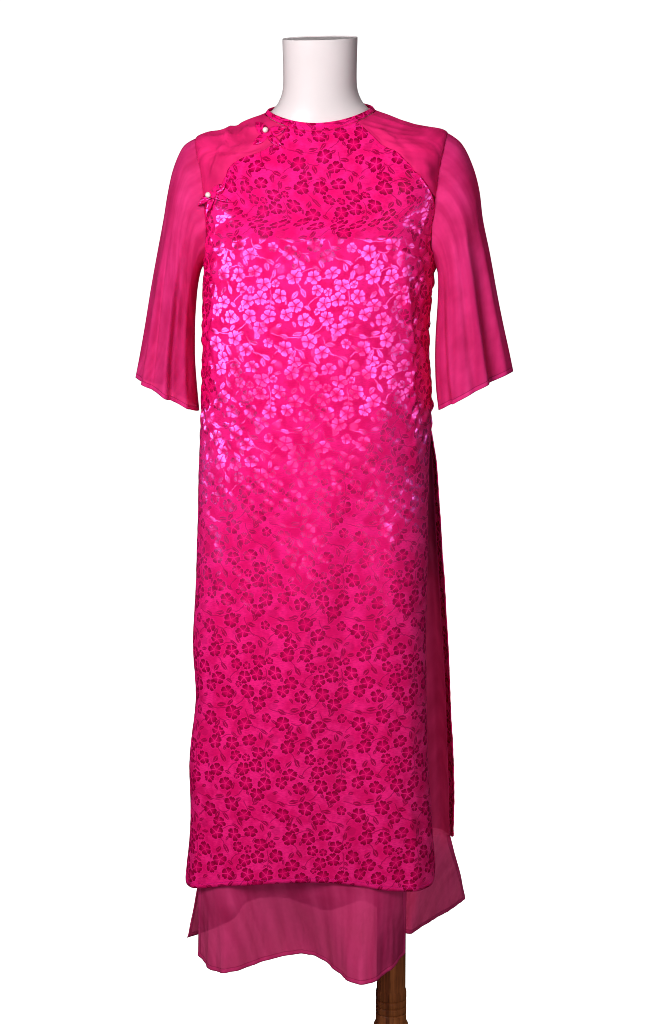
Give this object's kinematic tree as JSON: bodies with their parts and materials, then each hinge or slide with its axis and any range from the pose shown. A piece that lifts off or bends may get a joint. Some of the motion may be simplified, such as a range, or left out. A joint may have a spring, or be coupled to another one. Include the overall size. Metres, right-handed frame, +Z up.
{
  "type": "ao dai on a limbless dress form and turned stand",
  "caption": "Knee-length brocade dress with sheer yokes, bell sleeves, side slits and longer sheer underflaps, worn by a limbless form on a turned post.",
  "frame": {"origin": "on the floor under the middle of the whole object", "axes": "+Z up, the front of the dress faces -Y, the wearer's left is +X"},
  "size_m": [0.547, 0.3598, 1.6254],
  "materials": {
    "brocade": "satin ground with woven flowers",
    "chiffon": "sheer plain weave",
    "form": "smooth white gloss",
    "wood": "dark varnish",
    "pearl": "pearl lustre"
  },
  "bodies": {
    "root": {"front_panel": "brocade", "back_panel": "brocade", "collar_band": "brocade", "yoke_right": "chiffon", "yoke_left": "chiffon", "sleeve_right": "chiffon", "sleeve_left": "chiffon", "front_underflap": "chiffon", "back_underflap": "chiffon", "bow_upper": "brocade", "pearl_upper": "pearl", "bow_lower": "brocade", "pearl_lower": "pearl", "dress_form": "form", "stand_post": "wood", "stand_base": "wood"}
  },
  "joints": []
}
